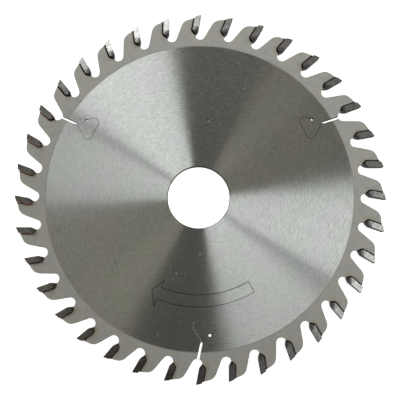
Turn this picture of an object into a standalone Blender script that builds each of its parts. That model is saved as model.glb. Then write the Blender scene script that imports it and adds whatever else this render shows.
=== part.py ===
"""Scoring saw blade: a steel plate with thirty-six conical carbide teeth.

The blade lies flat. Its origin is on the axis of the bore, on the surface that the
teeth rest on, +Z is up and the blade cuts clockwise seen from above.

A tooth is drawn in its own frame. Its cutting corner lies on +X, at the cut radius,
and +Y points to the back of the tooth. Most of its sizes are measured along the rake
face: "down" runs from the cutting corner towards the bore and "back" runs square to
the rake face, into the tooth.
"""

import math

import bmesh
import bpy
from mathutils import Vector

MM = 0.001

# The blade as a whole
TOOTH_COUNT = 36
CUT_DIAMETER = 180.0 * MM
KERF_WIDTH = 4.3 * MM
PLATE_THICKNESS = 3.0 * MM

# Bore
BORE_DIAMETER = 30.0 * MM
BORE_CHAMFER = 0.3 * MM

# Carbide tips, in the profile of the tooth
RAKE_ANGLE = math.radians(10.0)
CLEARANCE_ANGLE = math.radians(15.0)
TIP_THICKNESS = 2.7 * MM
TIP_LENGTH = 9.7 * MM
NOSE_SETBACK = 0.9 * MM
NOSE_ANGLE = math.radians(24.0)
FLOOR_ANGLE = math.radians(36.0)
HEEL_RADIUS = 1.0 * MM
BRAZE_GAP = 0.3 * MM

# Carbide tips, across the blade
BLANK_WIDTH = 5.5 * MM
BEVEL_ANGLE = math.radians(5.0)
CONE_ANGLE = math.radians(5.4)
SIDE_CLEARANCE_ANGLE = math.radians(4.0)

# Rim of the plate
LAND_DROP = 0.6 * MM
SHOULDER_RADIUS = 4.6 * MM
GULLET_RADIUS = 2.45 * MM
TOE_ANGLE = math.radians(4.5)
RAMP_ANGLE = math.radians(29.8)

# Outer band, ground a little thinner than the middle of the plate
BAND_MARGIN = 3.1 * MM
BAND_RELIEF = 0.08 * MM

# Expansion slots, each with a fine kerf that ends in a small hole
SLOT_TEETH = (3, 15, 27)
MIRRORED_SLOT_TEETH = (15,)
SLOT_LEAD = math.radians(0.68)
SLOT_LENGTH = 8.0 * MM
SLOT_WIDTH = 1.1 * MM
SLOT_OFFSET = 1.62 * MM
SLOT_POINT = 0.8 * MM
KERF_CUT_WIDTH = 0.15 * MM
KERF_NEAR_RADIUS = 2.0 * MM
KERF_FAR_RADIUS = 2.4 * MM
KERF_NEAR_CORNER = (-9.7 * MM, -6.0 * MM)
KERF_FAR_CORNER = (-9.0 * MM, 10.9 * MM)
KERF_HOLE_CENTRE = (-3.2 * MM, 3.9 * MM)
KERF_HOLE_DIAMETER = 1.3 * MM

# Fineness of the round stretches
ARC_STEP = math.radians(12.0)
BORE_SEGMENTS = 96
BAND_SEGMENTS_PER_TOOTH = 5
CUTTER_MARGIN = 1.0 * MM
SHARP_EDGE_ANGLE = math.radians(30.0)

CUT_RADIUS = CUT_DIAMETER / 2
PITCH = 2 * math.pi / TOOTH_COUNT
HALF_PLATE = PLATE_THICKNESS / 2
MID_HEIGHT = BLANK_WIDTH / 2

CORNER = Vector((CUT_RADIUS, 0.0))
DOWN = Vector((-math.cos(RAKE_ANGLE), math.sin(RAKE_ANGLE)))
BACK = Vector((math.sin(RAKE_ANGLE), math.cos(RAKE_ANGLE)))
FLOOR_RISE = -math.sin(FLOOR_ANGLE) * DOWN + math.cos(FLOOR_ANGLE) * BACK
FLOOR_NORMAL = math.cos(FLOOR_ANGLE) * DOWN + math.sin(FLOOR_ANGLE) * BACK
LAND_RUN = Vector((-math.sin(CLEARANCE_ANGLE), math.cos(CLEARANCE_ANGLE)))


def on_tooth(down, back):
    """Point of the tooth's profile, measured down its rake face and back from it."""
    return CORNER + down * DOWN + back * BACK


def turned(point, angle):
    """Point turned about the axis of the blade."""
    cosine, sine = math.cos(angle), math.sin(angle)
    return Vector((point.x * cosine - point.y * sine, point.x * sine + point.y * cosine))


def meeting(point_a, run_a, point_b, run_b):
    """Where two straight lines of the profile cross."""
    gap = point_b - point_a
    return point_a + run_a * (gap.cross(run_b) / run_a.cross(run_b))


def arc(centre, radius, start, end):
    """Points of an arc about a centre, from one angle to the other, both included."""
    steps = max(2, math.ceil(abs(end - start) / ARC_STEP))
    angles = [start + (end - start) * i / steps for i in range(steps + 1)]
    return [centre + radius * Vector((math.cos(a), math.sin(a))) for a in angles]


def bend(before, corner, after, radius):
    """Arc that rounds one corner of a path, no longer than the path's two sides allow."""
    incoming = (corner - before).normalized()
    outgoing = (after - corner).normalized()
    sweep = math.atan2(incoming.cross(outgoing), incoming.dot(outgoing))
    room = min((corner - before).length, (after - corner).length)
    setback = min(radius * math.tan(abs(sweep) / 2), room * 0.98)
    radius = setback / math.tan(abs(sweep) / 2)
    side = math.copysign(1.0, sweep)
    start_point = corner - incoming * setback
    centre = start_point + side * radius * Vector((-incoming.y, incoming.x))
    spoke = start_point - centre
    start = math.atan2(spoke.y, spoke.x)
    return arc(centre, radius, start, start + sweep)


def ribbon(path, half_widths):
    """Left and right edges of a strip that follows a path."""
    left, right = [], []
    for i, point in enumerate(path):
        before = path[max(i - 1, 0)]
        after = path[min(i + 1, len(path) - 1)]
        run = (after - before).normalized()
        normal = Vector((-run.y, run.x))
        left.append(point + normal * half_widths[i])
        right.append(point - normal * half_widths[i])
    return left, right


def gullet_centre():
    """Centre of the round gullet in front of a tooth, in that tooth's frame."""
    toe = seat_toe()
    lean = math.sin(TOE_ANGLE) * DOWN + math.cos(TOE_ANGLE) * BACK
    return toe - GULLET_RADIUS * lean


def seat_toe():
    """Foot of the seat, where its floor runs out into the gullet."""
    return on_tooth(TIP_LENGTH, NOSE_SETBACK) + BRAZE_GAP * FLOOR_NORMAL


def gullet_bottom_radius():
    """Distance of the gullets' bottoms from the axis of the blade."""
    return gullet_centre().length - GULLET_RADIUS


def tip_profile():
    """Outline of a carbide tip before its top is ground, counter-clockwise."""
    nose = on_tooth(TIP_LENGTH, NOSE_SETBACK)
    face_end = on_tooth(TIP_LENGTH - NOSE_SETBACK / math.tan(NOSE_ANGLE), 0.0)
    back_line = on_tooth(0.0, TIP_THICKNESS)
    heel = meeting(nose, FLOOR_RISE, back_line, DOWN)
    blank_top = -TIP_THICKNESS
    top_front = on_tooth(blank_top, 0.0)
    top_back = on_tooth(blank_top, TIP_THICKNESS)
    return [top_front, top_back, *bend(top_back, heel, nose, HEEL_RADIUS), nose, face_end]


def tooth_rim():
    """Rim of the plate from the toe of one tooth's seat to the toe of the next one's."""
    toe = seat_toe()
    wall_line = on_tooth(0.0, TIP_THICKNESS + BRAZE_GAP)
    heel = meeting(toe, FLOOR_RISE, wall_line, DOWN)
    land_point = CORNER - LAND_DROP * Vector((math.cos(CLEARANCE_ANGLE), math.sin(CLEARANCE_ANGLE)))
    land_start = meeting(wall_line, DOWN, land_point, LAND_RUN)

    centre = turned(gullet_centre(), PITCH)
    ramp_slope = PITCH - RAMP_ANGLE
    ramp_run = Vector((-math.cos(ramp_slope), -math.sin(ramp_slope)))
    ramp_end = centre + GULLET_RADIUS * Vector((-ramp_run.y, ramp_run.x))
    shoulder = meeting(land_point, LAND_RUN, ramp_end, ramp_run)

    gullet_start = math.atan2(ramp_end.y - centre.y, ramp_end.x - centre.x) % (2 * math.pi)
    next_toe = turned(toe, PITCH)
    gullet_end = math.atan2(next_toe.y - centre.y, next_toe.x - centre.x)
    seat = bend(toe, heel, land_start, HEEL_RADIUS + BRAZE_GAP)
    crest = bend(land_start, shoulder, ramp_end, SHOULDER_RADIUS)
    gullet = arc(centre, GULLET_RADIUS, gullet_start, gullet_end)
    return [*seat, land_start, *crest, *gullet]


def slot_outline(tooth):
    """Outline of one expansion slot with its kerf and its end hole, for cutting."""
    mirror = -1.0 if tooth in MIRRORED_SLOT_TEETH else 1.0
    lead = SLOT_LEAD + tooth * PITCH

    def place(along, across):
        return turned(Vector((along, across * mirror)), lead)

    end_radius = gullet_bottom_radius() - SLOT_LENGTH
    mouth = turned(gullet_centre(), tooth * PITCH)
    end = place(end_radius, SLOT_OFFSET)
    near = place(end_radius + KERF_NEAR_CORNER[0], SLOT_OFFSET + KERF_NEAR_CORNER[1])
    far = place(end_radius + KERF_FAR_CORNER[0], SLOT_OFFSET + KERF_FAR_CORNER[1])
    hole = place(end_radius + KERF_HOLE_CENTRE[0], SLOT_OFFSET + KERF_HOLE_CENTRE[1])

    half_slot, half_kerf = SLOT_WIDTH / 2, KERF_CUT_WIDTH / 2
    hole_radius = KERF_HOLE_DIAMETER / 2
    slot_run = (end - mouth).normalized()
    last_run = (hole - far).normalized()
    hole_entry = hole - last_run * math.sqrt(hole_radius**2 - half_kerf**2)
    between = (near + far) / 2
    near_bend = bend(end, near, between, KERF_NEAR_RADIUS)
    far_bend = bend(between, far, hole, KERF_FAR_RADIUS)
    path = [mouth, end - slot_run * SLOT_POINT, end, *near_bend, *far_bend, hole_entry]
    half_widths = [half_slot, half_slot] + [half_kerf] * (len(path) - 2)
    left, right = ribbon(path, half_widths)

    heading = math.atan2(last_run.y, last_run.x)
    opening = math.asin(half_kerf / hole_radius)
    start = heading + math.pi + opening
    wall = arc(hole, hole_radius, start, start + 2 * (math.pi - opening))
    return [*right[:-1], *wall, *reversed(left[:-1])]


def extruded(outline, low, high):
    """Closed solid of an outline between two heights."""
    shape = bmesh.new()
    floor = shape.faces.new([shape.verts.new((p.x, p.y, low)) for p in outline])
    raised = bmesh.ops.extrude_face_region(shape, geom=[floor])["geom"]
    top = [item for item in raised if isinstance(item, bmesh.types.BMVert)]
    bmesh.ops.translate(shape, verts=top, vec=(0.0, 0.0, high - low))
    bmesh.ops.recalc_face_normals(shape, faces=shape.faces[:])
    return shape


def lathed(profile, segments):
    """Closed solid turned about the axis of the blade from a closed profile."""
    shape = bmesh.new()
    verts = [shape.verts.new((radius, 0.0, height)) for radius, height in profile]
    loop = [shape.edges.new((verts[i - 1], verts[i])) for i in range(len(verts))]
    axis, centre = (0.0, 0.0, 1.0), (0.0, 0.0, 0.0)
    bmesh.ops.spin(shape, geom=verts + loop, axis=axis, cent=centre, angle=2 * math.pi, steps=segments)
    bmesh.ops.remove_doubles(shape, verts=shape.verts[:], dist=0.001 * MM)
    bmesh.ops.recalc_face_normals(shape, faces=shape.faces[:])
    return shape


def grind(shape, point, normal):
    """Take off what lies beyond a plane, as a grinding wheel does, and close the cut."""
    everything = shape.verts[:] + shape.edges[:] + shape.faces[:]
    cut = bmesh.ops.bisect_plane(
        shape, geom=everything, plane_co=point, plane_no=normal, clear_outer=True
    )
    edge_loop = [item for item in cut["geom_cut"] if isinstance(item, bmesh.types.BMEdge)]
    bmesh.ops.contextual_create(shape, geom=edge_loop)


def finished_mesh(name, shape, material):
    """Mesh made from a finished shape, shaded smooth across its shallow edges."""
    mesh = bpy.data.meshes.new(name)
    shape.to_mesh(mesh)
    shape.free()
    mesh.materials.append(material)
    mesh.shade_smooth()
    mesh.set_sharp_from_angle(angle=SHARP_EDGE_ANGLE)
    return mesh


def placed_object(name, mesh, parent):
    """Object that shows a mesh and hangs on a parent."""
    item = bpy.data.objects.new(name, mesh)
    bpy.context.scene.collection.objects.link(item)
    item.parent = parent
    return item


def metal(name, colour, roughness, metallic):
    """Plain metal finish."""
    material = bpy.data.materials.new(name)
    material.use_nodes = True
    shader = material.node_tree.nodes["Principled BSDF"]
    shader.inputs["Base Color"].default_value = (*colour, 1.0)
    shader.inputs["Roughness"].default_value = roughness
    shader.inputs["Metallic"].default_value = metallic
    return material


def cut_from(target, name, shape, material, parent):
    """Subtract a shape from a target, as a hidden cutter that stays editable."""
    cutter = placed_object(name, finished_mesh(name, shape, material), parent)
    cutter.hide_render = True
    cutter.display_type = "WIRE"
    boolean = target.modifiers.new(name, "BOOLEAN")
    boolean.operation = "DIFFERENCE"
    boolean.solver = "EXACT"
    boolean.object = cutter


def bore_shape():
    """Cutter for the bore, which widens into a chamfer at both faces."""
    radius = BORE_DIAMETER / 2
    flare = BORE_CHAMFER + CUTTER_MARGIN
    top = HALF_PLATE + CUTTER_MARGIN
    neck = HALF_PLATE - BORE_CHAMFER
    profile = [(radius + flare, -top), (radius, -neck), (radius, neck), (radius + flare, top)]
    shape = bmesh.new()
    rings = []
    for ring_radius, height in profile:
        steps = [2 * math.pi * i / BORE_SEGMENTS for i in range(BORE_SEGMENTS)]
        spots = [(ring_radius * math.cos(a), ring_radius * math.sin(a), height) for a in steps]
        rings.append([shape.verts.new(spot) for spot in spots])
    for lower, upper in zip(rings, rings[1:]):
        for i in range(BORE_SEGMENTS):
            shape.faces.new((lower[i - 1], lower[i], upper[i], upper[i - 1]))
    shape.faces.new(rings[0])
    shape.faces.new(rings[-1])
    bmesh.ops.recalc_face_normals(shape, faces=shape.faces[:])
    return shape


def band_shape(side):
    """Ring that thins the outer band on one side of the plate, up to a chamfered step."""
    step_radius = gullet_bottom_radius() - BAND_MARGIN
    outside = CUT_RADIUS + CUTTER_MARGIN
    floor = HALF_PLATE - BAND_RELIEF
    lip = HALF_PLATE + CUTTER_MARGIN
    profile = [
        (step_radius + BAND_RELIEF, side * floor),
        (outside, side * floor),
        (outside, side * lip),
        (step_radius - CUTTER_MARGIN, side * lip),
    ]
    return lathed(profile, BAND_SEGMENTS_PER_TOOTH * TOOTH_COUNT)


def build_plate(steel, parent):
    """The plate: toothed rim, chamfered bore, thinner outer band and expansion slots."""
    rim = [turned(point, k * PITCH) for k in range(TOOTH_COUNT) for point in tooth_rim()]
    blank = extruded(rim, -HALF_PLATE, HALF_PLATE)
    plate = placed_object("blade_plate", finished_mesh("blade_plate", blank, steel), parent)
    reach = HALF_PLATE + CUTTER_MARGIN
    cut_from(plate, "bore_cutter", bore_shape(), steel, parent)
    cut_from(plate, "upper_band_cutter", band_shape(1.0), steel, parent)
    cut_from(plate, "lower_band_cutter", band_shape(-1.0), steel, parent)
    for tooth in SLOT_TEETH:
        slot = extruded(slot_outline(tooth), -reach, reach)
        cut_from(plate, f"slot_cutter_{tooth + 1:02d}", slot, steel, parent)


def tip_mesh(high_side, carbide):
    """Mesh of a carbide tip whose cutting edge is highest on one side of the blade."""
    shape = extruded(tip_profile(), -BLANK_WIDTH / 2, BLANK_WIDTH / 2)
    for side in (1.0, -1.0):
        run_down = Vector((*DOWN, side * math.tan(CONE_ANGLE)))
        run_back = Vector((*BACK, -side * math.tan(SIDE_CLEARANCE_ANGLE)))
        outward = run_down.cross(run_back)
        outward *= math.copysign(1.0, outward.z * side)
        grind(shape, Vector((*CORNER, side * KERF_WIDTH / 2)), outward)
    edge_run = Vector((*(DOWN * math.tan(BEVEL_ANGLE)), -high_side))
    top_normal = edge_run.cross(Vector((*LAND_RUN, 0.0)))
    top_normal *= math.copysign(1.0, top_normal.x)
    grind(shape, Vector((*CORNER, high_side * KERF_WIDTH / 2)), top_normal)
    bmesh.ops.recalc_face_normals(shape, faces=shape.faces[:])
    return finished_mesh("tip_high_up" if high_side > 0 else "tip_high_down", shape, carbide)


def build_tips(carbide, parent):
    """One carbide tip for each tooth, bevelled to one side and to the other in turn."""
    meshes = [tip_mesh(-1.0, carbide), tip_mesh(1.0, carbide)]
    for k in range(TOOTH_COUNT):
        tip = placed_object(f"carbide_tip_{k + 1:02d}", meshes[k % 2], parent)
        tip.rotation_euler.z = k * PITCH


def main():
    """Clear the scene and build the blade, lying on its teeth."""
    for old in list(bpy.data.objects):
        bpy.data.objects.remove(old)
    axis = placed_object("blade_axis", None, None)
    axis.location.z = MID_HEIGHT
    steel = metal("ground_steel", (0.56, 0.57, 0.55), 0.34, 1.0)
    carbide = metal("sintered_carbide", (0.3, 0.3, 0.29), 0.45, 0.9)
    build_plate(steel, axis)
    build_tips(carbide, axis)


main()
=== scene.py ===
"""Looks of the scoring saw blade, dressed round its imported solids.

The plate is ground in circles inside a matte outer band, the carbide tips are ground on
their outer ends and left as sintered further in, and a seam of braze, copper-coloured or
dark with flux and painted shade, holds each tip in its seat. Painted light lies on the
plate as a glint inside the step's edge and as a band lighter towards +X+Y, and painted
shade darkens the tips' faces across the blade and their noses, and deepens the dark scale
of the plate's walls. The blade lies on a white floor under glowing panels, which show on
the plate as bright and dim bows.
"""

from __future__ import annotations

import logging
import math
from dataclasses import dataclass, field
from enum import Enum

import bmesh
import bpy
from mathutils import Euler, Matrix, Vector

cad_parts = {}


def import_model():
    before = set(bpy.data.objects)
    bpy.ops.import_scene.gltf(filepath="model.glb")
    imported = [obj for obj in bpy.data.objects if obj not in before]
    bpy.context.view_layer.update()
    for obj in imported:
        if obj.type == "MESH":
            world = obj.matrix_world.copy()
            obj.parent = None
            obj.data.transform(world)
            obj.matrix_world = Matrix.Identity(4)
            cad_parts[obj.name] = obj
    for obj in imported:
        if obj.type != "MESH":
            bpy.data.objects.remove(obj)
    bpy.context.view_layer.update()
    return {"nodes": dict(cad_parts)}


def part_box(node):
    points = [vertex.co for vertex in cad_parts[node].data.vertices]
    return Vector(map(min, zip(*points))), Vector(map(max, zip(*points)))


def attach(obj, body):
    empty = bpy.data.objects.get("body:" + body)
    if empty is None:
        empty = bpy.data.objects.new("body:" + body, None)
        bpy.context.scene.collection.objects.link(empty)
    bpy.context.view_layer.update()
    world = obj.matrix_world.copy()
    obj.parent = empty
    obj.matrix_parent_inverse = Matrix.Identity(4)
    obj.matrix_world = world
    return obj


LOG = logging.getLogger("scoring_saw_blade")

MM = 0.001
ROOT = "root"

# Ranges of a noise's values, which gather about 0.5
MIDDLE = (0.35, 0.65)
BROAD = (0.25, 0.75)

Socket = bpy.types.NodeSocket
Colour = tuple[float, float, float]
Feed = Socket | float | tuple[float, ...]


class Slot(Enum):
    """Names of the finishes of the plate, the carbide and the braze."""

    PLATE = "plate"
    CARBIDE = "carbide"
    BRAZE = "braze"


class NodeGraph:
    """Adds and wires the nodes of one node tree."""

    def __init__(self, tree: bpy.types.NodeTree) -> None:
        """Start an empty graph.

        Args:
            tree: The node tree to fill. What it holds is cleared.
        """
        self.tree = tree
        tree.nodes.clear()

    def add(self, kind: str, **settings: object) -> bpy.types.Node:
        """Add a node.

        Args:
            kind: The node's type name.
            settings: Properties of the node, by name.

        Returns:
            The new node.
        """
        node = self.tree.nodes.new(kind)
        for name, value in settings.items():
            setattr(node, name, value)
        return node

    def feed(self, socket: Socket, value: Feed) -> None:
        """Link a socket to another one, or give it a plain value.

        Args:
            socket: The input to feed.
            value: An output socket, a number or a tuple of numbers.
        """
        if isinstance(value, bpy.types.NodeSocket):
            self.tree.links.new(value, socket)
        else:
            socket.default_value = value

    def math(self, operation: str, a: Feed, b: Feed = 0.0) -> Socket:
        """Add a Math node.

        Args:
            operation: Blender's name of the operation.
            a: The first operand.
            b: The second operand.

        Returns:
            The result.
        """
        node = self.add("ShaderNodeMath", operation=operation)
        self.feed(node.inputs[0], a)
        self.feed(node.inputs[1], b)
        return node.outputs[0]

    def dot(self, vector: Feed, direction: Feed) -> Socket:
        """Dot product of two vectors.

        Args:
            vector: The first vector.
            direction: The second vector.

        Returns:
            The product.
        """
        node = self.add("ShaderNodeVectorMath", operation="DOT_PRODUCT")
        self.feed(node.inputs[0], vector)
        self.feed(node.inputs[1], direction)
        return node.outputs["Value"]

    def combine(self, x: Feed, y: Feed, z: Feed) -> Socket:
        """Vector made from three numbers.

        Args:
            x: Its first part.
            y: Its second part.
            z: Its third part.

        Returns:
            The vector.
        """
        node = self.add("ShaderNodeCombineXYZ")
        for socket, value in zip(node.inputs, (x, y, z)):
            self.feed(socket, value)
        return node.outputs[0]

    def noise(self, vector: Feed, scale: float, detail: float = 2.0) -> Socket:
        """Add a Noise Texture.

        Args:
            vector: Where the noise is read.
            scale: Its scale.
            detail: Its octaves.

        Returns:
            The noise, from 0 to 1 and about 0.5 on average.
        """
        node = self.add("ShaderNodeTexNoise")
        self.feed(node.inputs["Vector"], vector)
        self.feed(node.inputs["Scale"], scale)
        self.feed(node.inputs["Detail"], detail)
        return node.outputs[0]

    def blend(self, value: Feed, low: float, high: float, start: Feed = 0.0, end: Feed = 1.0) -> Socket:
        """Map a value smoothly from one range to another, held at its ends.

        Args:
            value: The value to map.
            low: Where the change begins.
            high: Where it ends.
            start: The result at the low end.
            end: The result at the high end.

        Returns:
            The mapped value.
        """
        node = self.add("ShaderNodeMapRange", interpolation_type="SMOOTHSTEP")
        for name, source in (
            ("Value", value), ("From Min", low), ("From Max", high), ("To Min", start), ("To Max", end)
        ):
            self.feed(node.inputs[name], source)
        return node.outputs[0]

    def mix(self, factor: Feed, a: Feed, b: Feed) -> Socket:
        """Mix two colours.

        Args:
            factor: The share of the second colour.
            a: The first colour, as a socket or as red, green and blue.
            b: The second colour, given the same way.

        Returns:
            The mixed colour.
        """
        node = self.add("ShaderNodeMix", data_type="RGBA")
        self.feed(node.inputs[0], factor)
        for socket, colour in ((node.inputs[6], a), (node.inputs[7], b)):
            self.feed(socket, (*colour, 1.0) if isinstance(colour, tuple) else colour)
        return node.outputs[2]

    def bump(self, height: Feed, strength: float, distance: float) -> Socket:
        """Normal bent by a height.

        Args:
            height: The height, in units of the distance.
            strength: How much of it counts, from 0 to 1.
            distance: The depth of one unit of height, in metres.

        Returns:
            The bent normal.
        """
        node = self.add("ShaderNodeBump")
        self.feed(node.inputs["Strength"], strength)
        self.feed(node.inputs["Distance"], distance)
        self.feed(node.inputs["Height"], height)
        return node.outputs[0]

    def times(self, vector: Feed, factor: Feed) -> Socket:
        """Vector or colour scaled by a number.

        Args:
            vector: The vector or colour.
            factor: The number.

        Returns:
            The scaled vector.
        """
        node = self.add("ShaderNodeVectorMath", operation="SCALE")
        self.feed(node.inputs[0], vector)
        self.feed(node.inputs["Scale"], factor)
        return node.outputs[0]

    def leaning(self, direction: Feed, amount: Feed) -> Socket:
        """Normal that leans over.

        Args:
            direction: The direction that it leans in.
            amount: The tangent of the angle.

        Returns:
            The leaning normal.
        """
        sum_node = self.add("ShaderNodeVectorMath", operation="ADD")
        self.feed(sum_node.inputs[0], self.add("ShaderNodeNewGeometry").outputs["Normal"])
        self.feed(sum_node.inputs[1], self.times(direction, amount))
        unit = self.add("ShaderNodeVectorMath", operation="NORMALIZE")
        self.feed(unit.inputs[0], sum_node.outputs[0])
        return unit.outputs[0]

    def surface(self, metallic: float, **feeds: Feed) -> Socket:
        """Add a Principled shader.

        Args:
            metallic: How metallic it is, from 0 to 1.
            feeds: What its sockets are fed with. Underscores stand for spaces in their names.

        Returns:
            The shader.
        """
        node = self.add("ShaderNodeBsdfPrincipled")
        self.feed(node.inputs["Metallic"], metallic)
        for name, value in feeds.items():
            socket = node.inputs[name.replace("_", " ")]
            colour = isinstance(value, tuple) and socket.type == "RGBA"
            self.feed(socket, (*value, 1.0) if colour else value)
        return node.outputs[0]

    def mix_shaders(self, factor: Feed, a: Socket, b: Socket) -> Socket:
        """Mix two shaders.

        Args:
            factor: The share of the second shader.
            a: The first shader.
            b: The second shader.

        Returns:
            The mixed shader.
        """
        node = self.add("ShaderNodeMixShader")
        self.feed(node.inputs[0], factor)
        self.feed(node.inputs[1], a)
        self.feed(node.inputs[2], b)
        return node.outputs[0]

    def show(self, shader: Socket) -> None:
        """Show a shader on the surface."""
        output = self.add("ShaderNodeOutputMaterial")
        self.feed(output.inputs["Surface"], shader)


@dataclass(frozen=True)
class Place:
    """Coordinates on the blade that its finishes follow, as sockets."""

    point: Socket
    x: Socket
    y: Socket
    radius: Socket
    outward: Socket
    facing: Socket

    @classmethod
    def of(cls, graph: NodeGraph) -> Place:
        """Read the coordinates in a material.

        Args:
            graph: The material's graph.

        Returns:
            The point and its level parts in metres, its distance from the axis of the blade,
            the direction away from that axis, and how squarely the surface faces along it.
        """
        point = graph.add("ShaderNodeTexCoord").outputs["Object"]
        split = graph.add("ShaderNodeSeparateXYZ")
        graph.feed(split.inputs[0], point)
        x, y = split.outputs["X"], split.outputs["Y"]
        square = graph.math("ADD", graph.math("MULTIPLY", x, x), graph.math("MULTIPLY", y, y))
        radius = graph.math("SQRT", square)
        outward = graph.combine(graph.math("DIVIDE", x, radius), graph.math("DIVIDE", y, radius), 0.0)
        normal = graph.add("ShaderNodeNewGeometry").outputs["True Normal"]
        facing = graph.math("ABSOLUTE", graph.dot(normal, (0.0, 0.0, 1.0)))
        return cls(point, x, y, radius, outward, facing)

    def arcs(self, graph: NodeGraph, across: float, along: float) -> Socket:
        """Vector whose noise runs in streaks round the axis.

        Args:
            graph: The material's graph.
            across: Streaks for each metre of radius.
            along: Streaks for each metre round the axis.

        Returns:
            The vector.
        """
        return graph.combine(
            graph.math("MULTIPLY", self.radius, across),
            graph.math("MULTIPLY", self.x, along),
            graph.math("MULTIPLY", self.y, along),
        )


@dataclass(frozen=True)
class SteelFinish:
    """Ground steel of the plate: circular grinding, a matte band and laser-cut walls."""

    disc_colour: Colour = (0.615, 0.658, 0.61)
    disc_tint: Colour = (0.63, 0.652, 0.628)
    disc_roughness: float = 0.28
    cloud_scale: float = 45.0
    groove_lean: float = 0.42
    streak_lean: float = 0.05
    streak_tones: tuple[float, float] = (0.78, 1.22)
    streaks_across: float = 7000.0
    streaks_along: float = 420.0
    step_blur: float = 0.06 * MM
    # Painted glint along the step's edge: how much of the band's matte shader a ring inside the edge takes,
    # how wide that ring is and how soft its start.
    edge_glint: float = 0.55
    glint_width: float = 0.4 * MM
    glint_blur: float = 0.1 * MM
    dust_colour: Colour = (0.88, 0.87, 0.83)
    speck_scale: float = 1250.0
    speck_levels: tuple[float, float] = (0.81, 0.83)
    band_colour: Colour = (0.66, 0.665, 0.635)
    # Painted light: the band's tone from its darker -X-Y side to its lighter +X+Y side, and how far that
    # change runs.
    band_painted_light: tuple[float, float] = (0.91, 1.0)
    painted_light_reach: float = 100.0 * MM
    band_roughness: float = 0.8
    band_spread: float = 0.05
    grain_scale: float = 1500.0
    grain_depth: float = 0.01 * MM
    mottle_scale: float = 260.0
    mottle_tones: tuple[float, float] = (0.95, 1.05)
    haze_levels: tuple[float, float] = (0.45, 0.75)
    haze_strength: float = 0.35
    stain_colour: Colour = (0.60, 0.565, 0.425)
    stain_levels: tuple[float, float] = (0.40, 0.60)
    stain_strength: float = 0.85
    stain_reach: float = 2.6 * MM
    # Near black: the walls' dark laser scale, darkened further as painted shade.
    wall_scale_and_shade: Colour = (0.05, 0.047, 0.042)
    wall_streak: Colour = (0.12, 0.112, 0.10)
    wall_roughness: float = 0.6
    wall_gloss: float = 0.03
    wall_turn: tuple[float, float] = (0.8, 0.95)
    stripe_scale: float = 2500.0
    stripe_stretch: tuple[float, float, float] = (1.0, 1.0, 0.08)
    stripe_depth: float = 0.03 * MM

    def material(self, plate: BladePlate, tooth: ToothForm) -> bpy.types.Material:
        """Build the plate's material.

        Args:
            plate: The plate's sizes.
            tooth: The form of one tooth, for the heat stains behind its seat.

        Returns:
            The material.
        """
        material = bpy.data.materials.new("ground_steel")
        material.use_nodes = True
        graph = NodeGraph(material.node_tree)
        place = Place.of(graph)
        clouds = graph.noise(place.point, self.cloud_scale, 3.0)
        inside = graph.blend(place.radius, plate.step_radius, plate.step_radius + self.step_blur, 1.0, 0.0)
        band = self.band(graph, place, clouds, tooth)
        specks = graph.blend(graph.noise(place.point, self.speck_scale, 0.0), *self.speck_levels)
        dust = graph.surface(0.0, Base_Color=self.dust_colour, Roughness=self.band_roughness)
        # Painted glint: a ring just inside the step's edge takes part of the band's matte shader, so that it
        # reads lighter than the disc.
        glint_from = plate.step_radius - self.glint_width
        painted_glint = graph.blend(place.radius, glint_from, glint_from + self.glint_blur, 0.0, self.edge_glint)
        bare_and_lit = graph.mix_shaders(painted_glint, self.disc(graph, place, clouds), band)
        disc = graph.mix_shaders(specks, bare_and_lit, dust)
        faces = graph.mix_shaders(inside, band, disc)
        # Faces that stand across the plate get the wall shader, near black partly from scale and partly as
        # painted shade.
        flat = graph.blend(place.facing, *self.wall_turn)
        graph.show(graph.mix_shaders(flat, self.wall(graph, place), faces))
        return material

    def disc(self, graph: NodeGraph, place: Place, clouds: Socket) -> Socket:
        """Shader of the circular-ground middle of the plate.

        The grooves scatter light far across them and hardly along them. Three lobes that lean
        in, stand upright and lean out give that spread.

        Args:
            graph: The material's graph.
            place: The coordinates on the blade.
            clouds: A coarse noise, for slow changes of tint.

        Returns:
            The shader.
        """
        streaks = graph.noise(place.arcs(graph, self.streaks_across, self.streaks_along), 1.0, 1.0)
        tint = graph.mix(graph.blend(clouds, *MIDDLE), self.disc_colour, self.disc_tint)
        colour = graph.times(tint, graph.blend(streaks, *BROAD, *self.streak_tones))
        wander = graph.blend(streaks, *BROAD, -self.streak_lean, self.streak_lean)
        lobes = []
        for lean in (-self.groove_lean, 0.0, self.groove_lean):
            lobes.append(graph.surface(
                1.0,
                Base_Color=colour,
                Roughness=self.disc_roughness,
                Anisotropic=1.0,
                Tangent=place.outward,
                Normal=graph.leaning(place.outward, graph.math("ADD", wander, lean)),
            ))
        return graph.mix_shaders(2 / 3, lobes[1], graph.mix_shaders(0.5, lobes[0], lobes[2]))

    def band(self, graph: NodeGraph, place: Place, clouds: Socket, tooth: ToothForm) -> Socket:
        """Shader of the matte outer band, with heat stains behind the seats and painted light that makes it
        lighter towards +X+Y.

        Args:
            graph: The material's graph.
            place: The coordinates on the blade.
            clouds: A coarse noise, which leaves some seats bare of stains.
            tooth: The form of one tooth, for where the stains lie.

        Returns:
            The shader.
        """
        grain = graph.noise(place.point, self.grain_scale, 2.0)
        mottle = graph.noise(place.point, self.mottle_scale, 3.0)
        patchy = graph.blend(clouds, *self.stain_levels, 0.0, self.stain_strength)
        stain = graph.math("MULTIPLY", self.stains(graph, place, tooth), patchy)
        haze = graph.blend(mottle, *self.haze_levels, 0.0, self.haze_strength)
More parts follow.
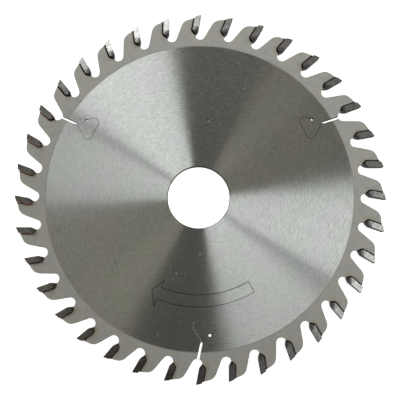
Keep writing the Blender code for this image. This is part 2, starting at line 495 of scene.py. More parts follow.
        # Painted light: the band is darker towards -X-Y and lighter towards +X+Y, on top of its random
        # mottle.
        diagonal = graph.math("ADD", place.x, place.y)
        painted_light_and_mottle = graph.blend(diagonal, -self.painted_light_reach, self.painted_light_reach, *self.band_painted_light)
        painted_light_and_mottle = graph.math("MULTIPLY", painted_light_and_mottle, graph.blend(mottle, 0.3, 0.7, *self.mottle_tones))
        tinted = graph.mix(graph.math("MAXIMUM", stain, haze), self.band_colour, self.stain_colour)
        smooth = self.band_roughness - self.band_spread
        rough = self.band_roughness + self.band_spread
        return graph.surface(
            1.0,
            Base_Color=graph.times(tinted, painted_light_and_mottle),
            Roughness=graph.blend(grain, 0.2, 0.8, smooth, rough),
            Normal=graph.bump(grain, 0.3, self.grain_depth),
        )

    def stains(self, graph: NodeGraph, place: Place, tooth: ToothForm) -> Socket:
        """Mask of the stains that brazing left on the plate round each seat.

        Args:
            graph: The material's graph.
            place: The coordinates on the blade.
            tooth: The form of one tooth.

        Returns:
            The mask, which is 1 where a stain is deepest.
        """
        down, back = tooth.local(graph, place)
        wall = tooth.tip_thickness + tooth.braze_gap
        behind = graph.blend(back, wall, wall + self.stain_reach, 1.0, 0.0)
        before = graph.blend(back, 0.3 * wall, wall, 0.0, 1.0)
        deep = graph.blend(down, tooth.tip_length, tooth.tip_length + self.stain_reach, 1.0, 0.0)
        low = graph.blend(down, 0.2 * tooth.tip_length, 0.8 * tooth.tip_length, 0.2, 1.0)
        along = graph.math("MULTIPLY", deep, low)
        return graph.math("MULTIPLY", graph.math("MULTIPLY", behind, before), along)

    def wall(self, graph: NodeGraph, place: Place) -> Socket:
        """Shader of the laser-cut walls, dull with scale and striped across the plate, and darkened near
        black as painted shade.

        Args:
            graph: The material's graph.
            place: The coordinates on the blade.

        Returns:
            The shader.
        """
        upright = graph.add("ShaderNodeVectorMath", operation="MULTIPLY")
        graph.feed(upright.inputs[0], place.point)
        graph.feed(upright.inputs[1], self.stripe_stretch)
        stripes = graph.noise(upright.outputs[0], self.stripe_scale, 2.0)
        return graph.surface(
            0.0,
            Base_Color=graph.mix(graph.blend(stripes, *MIDDLE), self.wall_scale_and_shade, self.wall_streak),
            Roughness=self.wall_roughness,
            Specular_IOR_Level=self.wall_gloss,
            Normal=graph.bump(stripes, 0.5, self.stripe_depth),
        )


@dataclass(frozen=True)
class CarbideFinish:
    """Carbide of the tips: ground sides, a blank root, and a nose and dull faces round them painted near
    black as shade.
    """

    ground_colour: Colour = (0.535, 0.54, 0.52)
    ground_shade: Colour = (0.40, 0.398, 0.38)
    blank_colour: Colour = (0.49, 0.49, 0.477)
    blank_shade: Colour = (0.285, 0.278, 0.27)
    # Painted shade: near-black colour of the faces across the blade and of the nose.
    shaded_edge_colour: Colour = (0.035, 0.035, 0.033)
    edge_shade: Colour = (0.08, 0.079, 0.075)
    mottle_scale: float = 700.0
    ground_roughness: float = 0.23
    ground_spread: float = 0.04
    scratches_across: float = 6000.0
    scratches_along: float = 1000.0
    scratch_depth: float = 0.006 * MM
    blank_roughness: float = 0.30
    blank_lean: float = -0.035
    edge_roughness: float = 0.5
    edge_gloss: float = 0.03
    edge_depth: float = 0.02 * MM
    edge_turn: tuple[float, float] = (0.93, 0.96)
    ground_length: float = 6.3 * MM
    ground_blur: float = 0.05 * MM
    nose_line: float = 7.6 * MM
    nose_blur: float = 0.1 * MM

    def material(self, tooth: ToothForm) -> bpy.types.Material:
        """Build the tips' material.

        Args:
            tooth: The form of one tooth, for how far its sides are ground.

        Returns:
            The material.
        """
        material = bpy.data.materials.new("carbide")
        material.use_nodes = True
        graph = NodeGraph(material.node_tree)
        place = Place.of(graph)
        spots = graph.blend(graph.noise(place.point, self.mottle_scale, 3.0), *MIDDLE)
        down, back = tooth.local(graph, place)
        root = graph.blend(down, self.ground_length - self.ground_blur, self.ground_length + self.ground_blur)
        sides = graph.mix_shaders(root, self.ground(graph, place, spots), self.blank(graph, place, spots))
        # Painted shade: past the nose line even the flat top face takes the near-black edge shader.
        nose = graph.math("SUBTRACT", down, back)
        nose_start = self.nose_line - self.nose_blur
        before_nose = graph.blend(nose, nose_start, self.nose_line + self.nose_blur, 1.0, 0.0)
        flat = graph.math("MULTIPLY", graph.blend(place.facing, *self.edge_turn), before_nose)
        graph.show(graph.mix_shaders(flat, self.edge(graph, spots), sides))
        return material

    def ground(self, graph: NodeGraph, place: Place, spots: Socket) -> Socket:
        """Shader of the sides that the grinding wheel has passed over.

        Args:
            graph: The material's graph.
            place: The coordinates on the blade.
            spots: A mask of darker spots.

        Returns:
            The shader.
        """
        scratches = graph.noise(place.arcs(graph, self.scratches_across, self.scratches_along), 1.0, 2.0)
        rough = self.ground_roughness + self.ground_spread
        return graph.surface(
            1.0,
            Base_Color=graph.mix(spots, self.ground_colour, self.ground_shade),
            Roughness=graph.blend(scratches, 0.3, 0.7, self.ground_roughness, rough),
            Normal=graph.bump(scratches, 0.3, self.scratch_depth),
        )

    def blank(self, graph: NodeGraph, place: Place, spots: Socket) -> Socket:
        """Shader of the root, which is left as sintered with a slight draft.

        Args:
            graph: The material's graph.
            place: The coordinates on the blade.
            spots: A mask of darker spots.

        Returns:
            The shader.
        """
        return graph.surface(
            1.0,
            Base_Color=graph.mix(spots, self.blank_colour, self.blank_shade),
            Roughness=self.blank_roughness,
            Normal=graph.leaning(place.outward, self.blank_lean),
        )

    def edge(self, graph: NodeGraph, spots: Socket) -> Socket:
        """Shader of the faces that stand across the blade, and of the nose past its line, painted near black
        as shade.

        Args:
            graph: The material's graph.
            spots: A mask of lighter spots.

        Returns:
            The shader.
        """
        return graph.surface(
            0.0,
            Base_Color=graph.mix(spots, self.shaded_edge_colour, self.edge_shade),
            Roughness=self.edge_roughness,
            Specular_IOR_Level=self.edge_gloss,
            Normal=graph.bump(spots, 0.3, self.edge_depth),
        )


@dataclass(frozen=True)
class BrazeFinish:
    """Solder, copper where the flux has come off, dark with flux elsewhere, and dark as painted shade away
    from the blade's left side and on the plate's side of each seam.
    """

    copper_colour: Colour = (0.58, 0.33, 0.27)
    brown_colour: Colour = (0.13, 0.088, 0.062)
    flux_and_shade_colour: Colour = (0.02, 0.018, 0.016)
    lit_side_angle: float = math.radians(175.0)
    lit_side_span: tuple[float, float] = (68.0 * MM, 84.0 * MM)
    lit_side_shift: tuple[float, float] = (-0.25, 0.12)
    brown_angle: float = math.radians(240.0)
    brown_side: tuple[float, float] = (30.0 * MM, 80.0 * MM)
    brown_levels: tuple[float, float] = (0.35, 0.55)
    copper_levels: tuple[float, float] = (0.45, 0.58)
    shadow_line_edge: tuple[float, float] = (-0.04 * MM, 0.08 * MM)
    copper_roughness: float = 0.42
    flux_roughness: float = 0.55
    flux_gloss: float = 0.08
    crust_scale: float = 900.0
    crust_depth: float = 0.05 * MM

    def material(self) -> bpy.types.Material:
        """Build the seams' material.

        Returns:
            The material.
        """
        material = bpy.data.materials.new("braze")
        material.use_nodes = True
        graph = NodeGraph(material.node_tree)
        place = Place.of(graph)
        crust = graph.noise(place.point, self.crust_scale, 3.0)
        # Painted shade: the seams lean to copper towards 175 degrees and to the dark shader elsewhere.
        towards = graph.dot(place.point, (*spoke(1.0, self.lit_side_angle), 0.0))
        bare_and_lit = graph.math("ADD", crust, graph.blend(towards, *self.lit_side_span, *self.lit_side_shift))
        # Painted shadow: the fillet on the plate's side of the seam stays dark, as a shadow line next to the
        # plate.
        into_plate = graph.add("ShaderNodeAttribute", attribute_name="into_plate").outputs["Fac"]
        in_gap = graph.blend(into_plate, *self.shadow_line_edge, 1.0, 0.0)
        copper = graph.math("MULTIPLY", graph.blend(bare_and_lit, *self.copper_levels), in_gap)
        low = graph.blend(graph.dot(place.point, (*spoke(1.0, self.brown_angle), 0.0)), *self.brown_side)
        brown = graph.math("MULTIPLY", low, graph.blend(crust, *self.brown_levels))
        flux_and_shade = graph.surface(
            0.0,
            Base_Color=graph.mix(brown, self.flux_and_shade_colour, self.brown_colour),
            Roughness=self.flux_roughness,
            Specular_IOR_Level=self.flux_gloss,
            Normal=graph.bump(crust, 0.4, self.crust_depth),
        )
        solder = graph.surface(1.0, Base_Color=self.copper_colour, Roughness=self.copper_roughness)
        graph.show(graph.mix_shaders(copper, flux_and_shade, solder))
        return material


@dataclass(frozen=True)
class BurntFinish:
    """Dark line that a laser has burnt into the ground steel."""

    colour: Colour = (0.02, 0.019, 0.017)
    shade: Colour = (0.05, 0.047, 0.043)
    roughness: float = 0.6
    gloss: float = 0.2
    dot_scale: float = 4000.0
    dot_depth: float = 0.02 * MM

    def material(self) -> bpy.types.Material:
        """Build the burnt line's material.

        Returns:
            The material.
        """
        material = bpy.data.materials.new("burnt_line")
        material.use_nodes = True
        graph = NodeGraph(material.node_tree)
        place = Place.of(graph)
        dots = graph.noise(place.point, self.dot_scale, 2.0)
        graph.show(graph.surface(
            0.0,
            Base_Color=graph.mix(graph.blend(dots, *MIDDLE), self.colour, self.shade),
            Roughness=self.roughness,
            Specular_IOR_Level=self.gloss,
            Normal=graph.bump(dots, 0.4, self.dot_depth),
        ))
        return material


@dataclass
class ToothForm:
    """Form of one tooth, drawn with its cutting corner on +X as the solids have it."""

    count: int = 36
    cut_radius: float = 90.0 * MM
    rake: float = math.radians(10.0)
    clearance: float = math.radians(15.0)
    tip_thickness: float = 2.7 * MM
    tip_length: float = 9.7 * MM
    nose_setback: float = 0.9 * MM
    floor_angle: float = math.radians(36.0)
    heel_radius: float = 1.0 * MM
    braze_gap: float = 0.3 * MM
    land_drop: float = 0.6 * MM

    @property
    def pitch(self) -> float:
        """Angle from one tooth to the next."""
        return 2 * math.pi / self.count

    @property
    def down(self) -> Vector:
        """Direction along the rake face, towards the bore."""
        return Vector((-math.cos(self.rake), math.sin(self.rake)))

    @property
    def back(self) -> Vector:
        """Direction square to the rake face, into the tooth."""
        return Vector((math.sin(self.rake), math.cos(self.rake)))

    def spot(self, down: float, back: float) -> Vector:
        """Point of the profile, measured down the rake face and back from it."""
        return Vector((self.cut_radius, 0.0)) + down * self.down + back * self.back

    def local(self, graph: NodeGraph, place: Place) -> tuple[Socket, Socket]:
        """Where a point lies in the profile of the tooth that it belongs to.

        Args:
            graph: The material's graph.
            place: The coordinates on the blade.

        Returns:
            How far down the rake face it lies from the cutting corner, and how far back.
        """
        angle = graph.math("ARCTAN2", place.y, place.x)
        ahead = graph.math("ADD", angle, self.pitch / 4)
        number = graph.math("FLOOR", graph.math("DIVIDE", ahead, self.pitch))
        local = graph.math("SUBTRACT", angle, graph.math("MULTIPLY", number, self.pitch))
        across = graph.math("MULTIPLY", place.radius, graph.math("COSINE", local))
        along = graph.math("MULTIPLY", place.radius, graph.math("SINE", local))
        point = graph.combine(graph.math("SUBTRACT", across, self.cut_radius), along, 0.0)
        return graph.dot(point, (*self.down, 0.0)), graph.dot(point, (*self.back, 0.0))


@dataclass
class BladePlate:
    """The steel plate, whose solid stays and gets its finish here."""

    tooth: ToothForm
    finish: SteelFinish = field(default_factory=SteelFinish)
    node: str = "blade_plate"
    step_radius: float = 74.61 * MM
    band_relief: float = 0.08 * MM

    @property
    def top(self) -> float:
        """Height of the plate's upper face."""
        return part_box(self.node)[1].z

    @property
    def bottom(self) -> float:
        """Height of the plate's lower face."""
        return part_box(self.node)[0].z

    def dress(self, nodes: dict[str, bpy.types.Object]) -> None:
        """Give the plate its ground steel.

        Args:
            nodes: The solids by name.
        """
        dress(nodes[self.node], self.finish.material(self, self.tooth))


@dataclass
class CarbideTips:
    """The carbide tips, whose solids stay and get their finish here."""

    tooth: ToothForm
    finish: CarbideFinish = field(default_factory=CarbideFinish)

    def dress(self, nodes: dict[str, bpy.types.Object]) -> None:
        """Give every tip its ground and sintered faces.

        Args:
            nodes: The solids by name.
        """
        carbide = self.finish.material(self.tooth)
        for number in range(1, self.tooth.count + 1):
            dress(nodes[f"carbide_tip_{number:02d}"], carbide)


@dataclass
class BrazeSeams:
    """The seams that hold the tips: one is modelled, and the rest repeat it."""

    tooth: ToothForm
    plate: BladePlate
    finish: BrazeFinish = field(default_factory=BrazeFinish)
    clearance: float = 0.01 * MM
    fillet_reach: float = 0.5 * MM
    fillet_height: float = 0.36 * MM
    fillet_sag: float = 0.08 * MM
    fillet_steps: int = 4
    heel_steps: int = 5
    sharp_angle: float = math.radians(50)

    def path(self) -> list[tuple[Vector, Vector]]:
        """The seat's line from its toe to the land, with the direction into the plate.

        Returns:
            Points of the line, each with the unit normal that points into the plate.
        """
        tooth = self.tooth
        rise = -math.sin(tooth.floor_angle) * tooth.down + math.cos(tooth.floor_angle) * tooth.back
        floor_normal = math.cos(tooth.floor_angle) * tooth.down + math.sin(tooth.floor_angle) * tooth.back
        toe = tooth.spot(tooth.tip_length, tooth.nose_setback) + tooth.braze_gap * floor_normal
        wall_top = tooth.spot(0.0, tooth.tip_thickness + tooth.braze_gap)
        heel = crossing(toe, rise, wall_top, tooth.down)
        radius = tooth.heel_radius + tooth.braze_gap
        lean = math.pi / 2 - tooth.floor_angle
        setback = radius * math.tan(lean / 2)
        centre = heel - setback * rise - radius * floor_normal
        points = [(toe, floor_normal)]
        for step in range(self.heel_steps + 1):
            turn = tooth.floor_angle + lean * step / self.heel_steps
            normal = math.cos(turn) * tooth.down + math.sin(turn) * tooth.back
            points.append((centre + radius * normal, normal))
        slope = Vector((math.cos(tooth.clearance), math.sin(tooth.clearance)))
        land_run = Vector((-slope.y, slope.x))
        land_start = Vector((tooth.cut_radius, 0.0)) - tooth.land_drop * slope
        land = crossing(wall_top, tooth.down, land_start, land_run)
        points.append((land, tooth.back.copy()))
        return points

    def section(self) -> list[tuple[float, float]]:
        """Cross-section of the seam, as distances into the plate and heights.

        Returns:
            The corners of a stem in the gap with a hollow fillet at each face.
        """
        upper = self.plate.top - self.plate.band_relief
        lower = self.plate.bottom + self.plate.band_relief
        tip_side = -self.tooth.braze_gap + self.clearance
        corner = (tip_side / 2, self.fillet_sag)
        bow = []
        for step in range(self.fillet_steps + 1):
            share = step / self.fillet_steps
            keep = 1 - share
            across = keep**2 * self.fillet_reach + 2 * share * keep * corner[0] + share**2 * tip_side
            height = keep**2 * self.clearance + 2 * share * keep * corner[1] + share**2 * self.fillet_height
            bow.append((across, height))
        plate_side = -self.clearance
        bow.insert(0, (plate_side, self.clearance))
        top = [(across, upper + height) for across, height in bow]
        bottom = [(across, lower - height) for across, height in reversed(bow)]
        return top + bottom

    def single(self) -> bpy.types.Mesh:
        """Mesh of one seam.

        Returns:
            The mesh, closed and facing out.
        """
        shape = bmesh.new()
        into_plate = shape.verts.layers.float.new("into_plate")
        rings = []
        for point, normal in self.path():
            ring = []
            for across, height in self.section():
                corner = shape.verts.new((*(point + across * normal), height))
                corner[into_plate] = across
                ring.append(corner)
            rings.append(ring)
        for ring, following in zip(rings, rings[1:]):
            for i in range(len(ring)):
                shape.faces.new((ring[i - 1], ring[i], following[i], following[i - 1]))
        shape.faces.new(rings[0])
        shape.faces.new(rings[-1])
        bmesh.ops.recalc_face_normals(shape, faces=shape.faces[:])
        mesh = bpy.data.meshes.new("braze_seam")
        shape.to_mesh(mesh)
        shape.free()
        mesh.shade_smooth()
        mesh.set_sharp_from_angle(angle=self.sharp_angle)
        return mesh

    def build(self) -> bpy.types.Object:
        """Repeat the seam round the blade and make it one piece.

        Returns:
            The piece.
        """
        tree = repeat_round_axis()
        settings = {
            "Count": self.tooth.count,
            "Pitch": self.tooth.pitch,
            "Material": self.finish.material(),
        }
        piece = grown("braze_seams", self.single(), tree, settings)
        return ridden(piece)


@dataclass
class RotationArrow:
    """Outline of an arrow on the upper face, which shows the way the blade turns."""

    plate: BladePlate
    finish: BurntFinish = field(default_factory=BurntFinish)
    inner_radius: float = 47.1 * MM
    outer_radius: float = 52.9 * MM
    barb: float = 4.1 * MM
    tail_angle: float = math.radians(-58.9)
    neck_angle: float = math.radians(-111.3)
    tip_angle: float = math.radians(-115.9)
    arc_steps: int = 24
    line_width: float = 0.32 * MM
    line_height: float = 0.02 * MM

    def outline(self) -> list[Vector]:
        """Corners of the arrow, with its two long sides as arcs about the axis.

        Returns:
            The corners in order.
        """
        middle = (self.inner_radius + self.outer_radius) / 2
        angles = [
            self.tail_angle + (self.neck_angle - self.tail_angle) * i / self.arc_steps
            for i in range(self.arc_steps + 1)
        ]
        outer = [spoke(self.outer_radius, angle) for angle in angles]
        inner = [spoke(self.inner_radius, angle) for angle in reversed(angles)]
        head = [
            spoke(self.outer_radius + self.barb, self.neck_angle),
            spoke(middle, self.tip_angle),
            spoke(self.inner_radius - self.barb, self.neck_angle),
        ]
        return outer + head + inner

    def build(self) -> bpy.types.Object:
        """Draw the outline as a fine raised line on the plate.

        Returns:
            The piece.
        """
        corners = self.outline()
        mesh = lines("rotation_arrow", [[*corners, corners[0]]], self.plate.top + self.line_height / 2)
        settings = {
            "Line Width": self.line_width,
            "Line Height": self.line_height,
            "Cuts": 6,
            "Material": self.finish.material(),
        }
        piece = grown("rotation_arrow", mesh, line_along_edges(), settings)
        return ridden(piece)


@dataclass
class KerfScorch:
    """Burnt edges of the fine kerfs with which the laser ended the expansion slots."""

    plate: BladePlate
    tooth: ToothForm
    finish: BurntFinish = field(default_factory=BurntFinish)
    slot_teeth: tuple[int, ...] = (3, 15, 27)
    mirrored_teeth: tuple[int, ...] = (15,)
    lead: float = math.radians(0.68)
    slot_end: tuple[float, float] = (69.711 * MM, 1.62 * MM)
    near_corner: tuple[float, float] = (60.011 * MM, -4.38 * MM)
    far_corner: tuple[float, float] = (60.711 * MM, 12.52 * MM)
    hole: tuple[float, float] = (66.511 * MM, 5.52 * MM)
    hole_radius: float = 0.65 * MM
    near_radius: float = 2.0 * MM
    far_radius: float = 2.4 * MM
    kerf_width: float = 0.15 * MM
    line_width: float = 0.10 * MM
    line_height: float = 0.02 * MM
    burr: float = 0.055 * MM

    def path(self, tooth: int) -> list[Vector]:
        """Middle of one kerf, from the slot to the small hole.

        Args:
            tooth: The tooth that the slot belongs to.

        Returns:
            Points of the line.
        """
        mirror = -1.0 if tooth in self.mirrored_teeth else 1.0
        turn = self.lead + tooth * self.tooth.pitch

        def place(spot: tuple[float, float]) -> Vector:
            """Spot of the slot's drawing, put at this slot."""
            return turned(Vector((spot[0], spot[1] * mirror)), turn)

        spots = (self.slot_end, self.near_corner, self.far_corner, self.hole)
        end, near, far, hole = (place(spot) for spot in spots)
        middle = (near + far) / 2
        near_bend = rounded(end, near, middle, self.near_radius)
        far_bend = rounded(middle, far, hole, self.far_radius)
        return [end, *near_bend, *far_bend, hole - self.hole_radius * (hole - far).normalized()]

    def build(self) -> bpy.types.Object:
        """Draw both edges of every kerf on the plate.

        Returns:
            The piece.
        """
        offset = (self.kerf_width + self.line_width) / 2 - self.burr
        paths = []
        for tooth in self.slot_teeth:
            for side in (-offset, offset):
                paths.append(beside(self.path(tooth), side))
        mesh = lines("kerf_scorch", paths, self.plate.top + self.line_height / 2)
        settings = {
            "Line Width": self.line_width,
            "Line Height": self.line_height,
            "Cuts": 1,
            "Material": self.finish.material(),
        }
        piece = grown("kerf_scorch", mesh, line_along_edges(), settings)
        return ridden(piece)


@dataclass
class LightPanel:
    """A glowing panel, bounded by where its reflection lies on the ground plate.

    Where the camera would see itself mirrored in the plate, the bright bows of the circular
    grinding cross. Seen from above, what glows at an angle round that direction shows on the
    plate as a bow at the same angle, and again on the far side of the bore. The bows are in
    degrees from +X. A reach is how far the level part of a unit direction lies from that of
    the mirrored one. The glow fades over a share of the panel at its first and last bow, and
    slopes from one to the other.
    """

    name: str
    bows: tuple[float, float]
    reaches: tuple[float, float]
    radiance: float
    colour: Colour = (1.0, 1.0, 1.0)
    softness: tuple[float, float] = (0.08, 0.08)
    slope: tuple[float, float] = (1.0, 1.0)
    distance: float = 0.8
    steps: int = 8

    def build(self, mirrored: Vector) -> None:
        """Hang the panel.

        Args:
            mirrored: The direction in which the plate mirrors the camera, seen from above.
        """
        shape = bmesh.new()
        across = shape.loops.layers.uv.new("across")
        columns = []
        for step in range(self.steps + 1):
            share = step / self.steps
            bow = math.radians(self.bows[0] + (self.bows[1] - self.bows[0]) * share)
            column = []
            for row in range(self.steps + 1):
                reach = self.reaches[0] + (self.reaches[1] - self.reaches[0]) * row / self.steps
                spot = mirrored + spoke(reach, bow)
                away = Vector((spot.x, spot.y, math.sqrt(1 - spot.length_squared)))
                column.append(shape.verts.new(away * self.distance))
            columns.append((share, column))
        for (share, column), (next_share, following) in zip(columns, columns[1:]):
            for row in range(self.steps):
                face = shape.faces.new((column[row], column[row + 1], following[row + 1], following[row]))
                for loop, place in zip(face.loops, (share, share, next_share, next_share)):
                    loop[across].uv = (place, 0.0)
        mesh = bpy.data.meshes.new(self.name)
        shape.to_mesh(mesh)
        shape.free()
        mesh.materials.append(self.material())
        panel = bpy.data.objects.new(self.name, mesh)
        panel.visible_camera = False
        bpy.context.scene.collection.objects.link(panel)

    def material(self) -> bpy.types.Material:
        """Glow that fades at the panel's first and last bow and slopes from one to the other.

        Returns:
            The material.
        """
        material = bpy.data.materials.new(self.name)
        material.use_nodes = True
        graph = NodeGraph(material.node_tree)
        split = graph.add("ShaderNodeSeparateXYZ")
        graph.feed(split.inputs[0], graph.add("ShaderNodeUVMap", uv_map="across").outputs[0])
        share = split.outputs[0]
        start = graph.blend(share, 0.0, self.softness[0])
        end = graph.blend(share, 1 - self.softness[1], 1.0, 1.0, 0.0)
        slope = graph.blend(share, 0.0, 1.0, *self.slope)
        strength = graph.math("MULTIPLY", graph.math("MULTIPLY", start, end), self.radiance)
        glow = graph.add("ShaderNodeEmission")
        graph.feed(glow.inputs["Color"], (*self.colour, 1.0))
        graph.feed(glow.inputs["Strength"], graph.math("MULTIPLY", strength, slope))
        graph.show(glow.outputs[0])
        return material


@dataclass
class Studio:
    """White floor, lights and camera."""

    floor_radius: float = 2.6
    floor_rim: float = 0.7
    floor_profile: tuple[tuple[float, float], ...] = (
        (0.0, 0.0), (0.25, 0.0), (0.5, 0.0), (0.7, 0.03), (0.85, 0.2), (0.95, 0.55), (1.0, 1.0)
    )
    floor_steps: int = 64
    floor_colour: Colour = (0.82, 0.82, 0.82)
    floor_glow: float = 0.9
    world_level: float = 0.021
    world_colour: Colour = (1.0, 0.66, 0.58)
    camera_place: tuple[float, float, float] = (-0.00071, -0.04956, 0.39033)
    camera_turn: tuple[float, float, float] = (3.600, 2.245, 0.938)
    focal_length: float = 72.22
    sensor_width: float = 36.0
    shift: tuple[float, float] = (0.0895, 0.1238)

    def build(self) -> None:
        """Set up everything round the blade."""
        self.build_floor()
        self.build_world()
        self.build_lights()
        self.build_camera()

    def build_floor(self) -> None:
        """A wide floor that curves up at its rim."""
        shape = bmesh.new()
        verts = [
            shape.verts.new((share * self.floor_radius, 0.0, rise * self.floor_rim))
            for share, rise in self.floor_profile
        ]
        edges = [shape.edges.new(pair) for pair in zip(verts, verts[1:])]
        bmesh.ops.spin(
            shape,
            geom=verts + edges,
            axis=(0, 0, 1),
            cent=(0, 0, 0),
            angle=2 * math.pi,
            steps=self.floor_steps,
        )
        bmesh.ops.remove_doubles(shape, verts=shape.verts[:], dist=0.01 * MM)
        bmesh.ops.recalc_face_normals(shape, faces=shape.faces[:])
        mesh = bpy.data.meshes.new("floor")
        shape.to_mesh(mesh)
        shape.free()
        mesh.shade_smooth()
        mesh.materials.append(self.floor_material())
        floor = bpy.data.objects.new("floor", mesh)
        bpy.context.scene.collection.objects.link(floor)

    def floor_material(self) -> bpy.types.Material:
        """White where it is seen, with the blade's shadow kept.

        Returns:
            The material.
        """
        material = bpy.data.materials.new("white_floor")
        material.use_nodes = True
        graph = NodeGraph(material.node_tree)
        path = graph.add("ShaderNodeLightPath").outputs
        seen = graph.math("MAXIMUM", path["Is Camera Ray"], path["Is Glossy Ray"])
        seen = graph.math("MAXIMUM", seen, path["Is Transmission Ray"])
        diffuse = graph.add("ShaderNodeBsdfDiffuse")
        graph.feed(diffuse.inputs["Color"], (*self.floor_colour, 1.0))
        glow = graph.add("ShaderNodeEmission")
        graph.feed(glow.inputs["Strength"], graph.math("MULTIPLY", seen, self.floor_glow))
        both = graph.add("ShaderNodeAddShader")
        graph.feed(both.inputs[0], diffuse.outputs[0])
        graph.feed(both.inputs[1], glow.outputs[0])
        graph.show(both.outputs[0])
        return material

    def build_world(self) -> None:
        """An even, dim world."""
        world = bpy.data.worlds.new("studio")
        world.use_nodes = True
        background = world.node_tree.nodes["Background"]
        background.inputs["Color"].default_value = (*self.world_colour, 1.0)
        background.inputs["Strength"].default_value = self.world_level
        bpy.context.scene.world = world

    def build_lights(self) -> None:
        """Strong panels for the bright bows across the plate, and dim ones between them."""
        mirrored = Vector((-self.camera_place[0], -self.camera_place[1])) / Vector(self.camera_place).length
        panels = [
            LightPanel(
                "left_panel", (99.7, 147.3), (0.36, 0.54), 2.7, softness=(0.06, 0.04), slope=(0.95, 1.18)
            ),
            LightPanel(
                "left_rim_panel", (97.5, 147.3), (0.68, 0.77), 8.2, softness=(0.15, 0.03), slope=(0.93, 1.14)
            ),
            LightPanel("left_counter_panel", (281.5, 326.6), (0.66, 0.75), 1.5, softness=(0.12, 0.04)),
            LightPanel(
                "right_panel", (-32.2, 12.6), (0.36, 0.54), 2.0, softness=(0.04, 0.3), slope=(1.12, 0.94)
            ),
            LightPanel(
                "right_rim_panel", (-32.2, 12.6), (0.69, 0.78), 10.2, softness=(0.04, 0.3), slope=(1.13, 0.92)
            ),
            LightPanel("lower_fill", (186.0, 247.5), (0.72, 0.84), 2.25, (1.0, 0.92, 0.76), (0.1, 0.14)),
            LightPanel("lower_haze", (140.0, 272.0), (0.34, 0.54), 0.2, (1.0, 0.93, 0.90), (0.1, 0.4)),
            LightPanel("upper_haze", (12.0, 98.0), (0.34, 0.54), 0.27, (1.0, 0.95, 0.92), (0.1, 0.1)),
            LightPanel("upper_fill", (34.0, 78.0), (0.60, 0.70), 0.68, (1.0, 0.95, 0.74), (0.3, 0.3)),
            LightPanel("top_fill", (64.0, 104.0), (0.75, 0.84), 0.64, (1.0, 0.90, 0.82), (0.3, 0.05)),
        ]
        for panel in panels:
            panel.build(mirrored)

    def build_camera(self) -> None:
        """The camera, at the photograph's place and with its framing."""
        lens = bpy.data.cameras.new("camera")
        lens.lens = self.focal_length
        lens.sensor_width = self.sensor_width
        lens.shift_x, lens.shift_y = self.shift
        camera = bpy.data.objects.new("camera", lens)
        camera.location = self.camera_place
        camera.rotation_euler = Euler([math.radians(angle) for angle in self.camera_turn])
        bpy.context.scene.collection.objects.link(camera)
        bpy.context.scene.camera = camera


def crossing(point_a: Vector, run_a: Vector, point_b: Vector, run_b: Vector) -> Vector:
    """Where two straight lines cross.

    Args:
        point_a: A point of the first line.
        run_a: The first line's direction.
        point_b: A point of the second line.
        run_b: The second line's direction.

    Returns:
        The point that they share.
    """
    return point_a + run_a * ((point_b - point_a).cross(run_b) / run_a.cross(run_b))


def spoke(radius: float, angle: float) -> Vector:
    """Point at a distance from the axis and an angle from +X."""
    return Vector((radius * math.cos(angle), radius * math.sin(angle)))


def turned(vector: Vector, angle: float) -> Vector:
    """Vector turned about the axis of the blade."""
    cosine, sine = math.cos(angle), math.sin(angle)
    return Vector((cosine * vector.x - sine * vector.y, sine * vector.x + cosine * vector.y))


def rounded(before: Vector, corner: Vector, after: Vector, radius: float, steps: int = 8) -> list[Vector]:
    """Arc that rounds a corner of a path.

    Args:
        before: A point of the path before the corner.
        corner: The corner.
        after: A point of the path after the corner.
        radius: The arc's radius.
        steps: How many stretches it gets.

    Returns:
        Points of the arc.
    """
    run_in = (corner - before).normalized()
    run_out = (after - corner).normalized()
    bend = math.atan2(run_in.cross(run_out), run_in.dot(run_out))
    side = math.copysign(radius, bend) * Vector((-run_in.y, run_in.x))
    centre = corner - radius * math.tan(abs(bend) / 2) * run_in + side
    return [centre + turned(-side, bend * step / steps) for step in range(steps + 1)]


def beside(path: list[Vector], distance: float) -> list[Vector]:
    """Path that runs beside another one, on its left.

    Args:
        path: Points of the other path.
        distance: How far away it runs.

    Returns:
        Its points.
    """
    points = []
    for before, here, after in zip([path[0], *path], path, [*path[1:], path[-1]]):
        run = ((here - before).normalized() + (after - here).normalized()).normalized()
        points.append(here + distance * Vector((-run.y, run.x)))
    return points


def lines(name: str, paths: list[list[Vector]], height: float) -> bpy.types.Mesh:
    """Mesh of bare edges along some paths.

    Args:
        name: The mesh's name.
        paths: The paths. One that ends where it starts is closed.
        height: How high they lie.

    Returns:
        The mesh.
    """
    shape = bmesh.new()
    for path in paths:
        closed = path[0] == path[-1]
        verts = [shape.verts.new((*point, height)) for point in (path[:-1] if closed else path)]
        for pair in zip(verts, verts[1:]):
            shape.edges.new(pair)
        if closed:
            shape.edges.new((verts[-1], verts[0]))
    mesh = bpy.data.meshes.new(name)
    shape.to_mesh(mesh)
    shape.free()
    return mesh


def dress(node: bpy.types.Object, material: bpy.types.Material) -> None:
    """Give a solid a material.

    Args:
        node: The solid.
        material: What it gets.
    """
    if not node.material_slots:
        node.data.materials.append(material)
    for holder in node.material_slots:
        holder.material = material
    LOG.info("dressed %s", node.name)


def ridden(piece: bpy.types.Object) -> bpy.types.Object:
    """Make a piece move with the blade.

    Args:
        piece: The piece.

    Returns:
        The same piece.
    """
    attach(piece, ROOT)
    LOG.info("built %s with %d faces", piece.name, len(piece.data.polygons))
    return piece


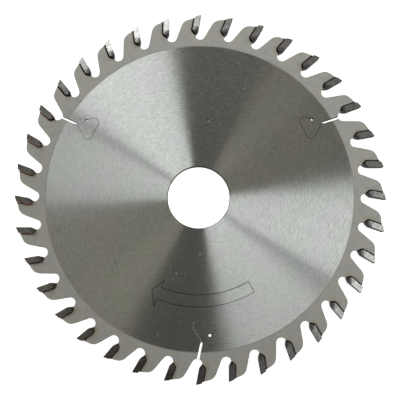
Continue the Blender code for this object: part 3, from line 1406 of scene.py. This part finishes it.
def new_tree(
    name: str, sizes: dict[str, str]
) -> tuple[bpy.types.NodeTree, NodeGraph, Socket, bpy.types.Node]:
    """Start a Geometry Nodes tree.

    Args:
        name: The tree's name.
        sizes: Its inputs after the geometry, each with its socket type.

    Returns:
        The tree, its graph, its geometry input and its group input node.
    """
    tree = bpy.data.node_groups.new(name, "GeometryNodeTree")
    tree.interface.new_socket("Geometry", in_out="INPUT", socket_type="NodeSocketGeometry")
    for label, kind in sizes.items():
        tree.interface.new_socket(label, in_out="INPUT", socket_type=kind)
    tree.interface.new_socket("Geometry", in_out="OUTPUT", socket_type="NodeSocketGeometry")
    graph = NodeGraph(tree)
    entry = graph.add("NodeGroupInput")
    return tree, graph, entry.outputs["Geometry"], entry


def close_tree(graph: NodeGraph, geometry: Socket, entry: bpy.types.Node) -> None:
    """End a tree in Realize Instances and Set Material.

    Args:
        graph: The tree's graph.
        geometry: What the tree has made.
        entry: Its group input node, which gives the material.
    """
    realize = graph.add("GeometryNodeRealizeInstances")
    paint = graph.add("GeometryNodeSetMaterial")
    leave = graph.add("NodeGroupOutput")
    graph.feed(realize.inputs[0], geometry)
    graph.feed(paint.inputs["Geometry"], realize.outputs[0])
    graph.feed(paint.inputs["Material"], entry.outputs["Material"])
    graph.feed(leave.inputs[0], paint.outputs[0])


def repeat_round_axis() -> bpy.types.NodeTree:
    """Tree that repeats a mesh round the Z axis, one copy for each tooth.

    Returns:
        The tree.
    """
    sizes = {"Count": "NodeSocketInt", "Pitch": "NodeSocketFloat", "Material": "NodeSocketMaterial"}
    tree, graph, geometry, entry = new_tree("repeat_round_axis", sizes)
    points = graph.add("GeometryNodePoints")
    graph.feed(points.inputs["Count"], entry.outputs["Count"])
    index = graph.add("GeometryNodeInputIndex").outputs[0]
    turn = graph.combine(0.0, 0.0, graph.math("MULTIPLY", index, entry.outputs["Pitch"]))
    place = graph.add("GeometryNodeInstanceOnPoints")
    graph.feed(place.inputs["Points"], points.outputs[0])
    graph.feed(place.inputs["Instance"], geometry)
    graph.feed(place.inputs["Rotation"], turn)
    close_tree(graph, place.outputs[0], entry)
    return tree


def line_along_edges() -> bpy.types.NodeTree:
    """Tree that lays a flat line of a width and a height along a mesh's edges.

    Returns:
        The tree.
    """
    sizes = {
        "Line Width": "NodeSocketFloat",
        "Line Height": "NodeSocketFloat",
        "Cuts": "NodeSocketInt",
        "Material": "NodeSocketMaterial",
    }
    tree, graph, geometry, entry = new_tree("line_along_edges", sizes)
    curve = graph.add("GeometryNodeMeshToCurve")
    graph.feed(curve.inputs[0], geometry)
    cut = graph.add("GeometryNodeSubdivideCurve")
    graph.feed(cut.inputs["Curve"], curve.outputs[0])
    graph.feed(cut.inputs["Cuts"], entry.outputs["Cuts"])
    normal = graph.add("GeometryNodeSetCurveNormal", mode="Z_UP")
    graph.feed(normal.inputs[0], cut.outputs[0])
    section = graph.add("GeometryNodeCurvePrimitiveQuadrilateral")
    graph.feed(section.inputs["Width"], entry.outputs["Line Width"])
    graph.feed(section.inputs["Height"], entry.outputs["Line Height"])
    line = graph.add("GeometryNodeCurveToMesh")
    graph.feed(line.inputs["Curve"], normal.outputs[0])
    graph.feed(line.inputs["Profile Curve"], section.outputs[0])
    graph.feed(line.inputs["Fill Caps"], True)
    close_tree(graph, line.outputs[0], entry)
    return tree


def grown(
    name: str, mesh: bpy.types.Mesh, tree: bpy.types.NodeTree, settings: dict[str, object]
) -> bpy.types.Object:
    """Run a mesh through a Geometry Nodes tree and keep the result as a plain mesh.

    Args:
        name: The piece's name.
        mesh: The mesh that the tree starts from.
        tree: The tree.
        settings: The tree's inputs by name.

    Returns:
        The piece, with no modifier left on it.
    """
    piece = bpy.data.objects.new(name, mesh)
    bpy.context.scene.collection.objects.link(piece)
    modifier = piece.modifiers.new("grow", "NODES")
    modifier.node_group = tree
    keys = {item.name: item.identifier for item in tree.interface.items_tree if item.in_out == "INPUT"}
    for label, value in settings.items():
        modifier[keys[label]] = value
    evaluated = piece.evaluated_get(bpy.context.evaluated_depsgraph_get())
    result = bpy.data.meshes.new_from_object(evaluated)
    piece.modifiers.clear()
    piece.data = result
    return piece


def main() -> None:
    """Dress the blade and set up its studio."""
    logging.basicConfig(level=logging.INFO)
    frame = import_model()
    bpy.context.scene.view_settings.view_transform = "Standard"

    tooth = ToothForm()
    plate = BladePlate(tooth)
    plate.dress(frame["nodes"])
    CarbideTips(tooth).dress(frame["nodes"])
    BrazeSeams(tooth, plate).build()
    RotationArrow(plate).build()
    KerfScorch(plate, tooth).build()
    Studio().build()


if __name__ == "__main__":
    main()
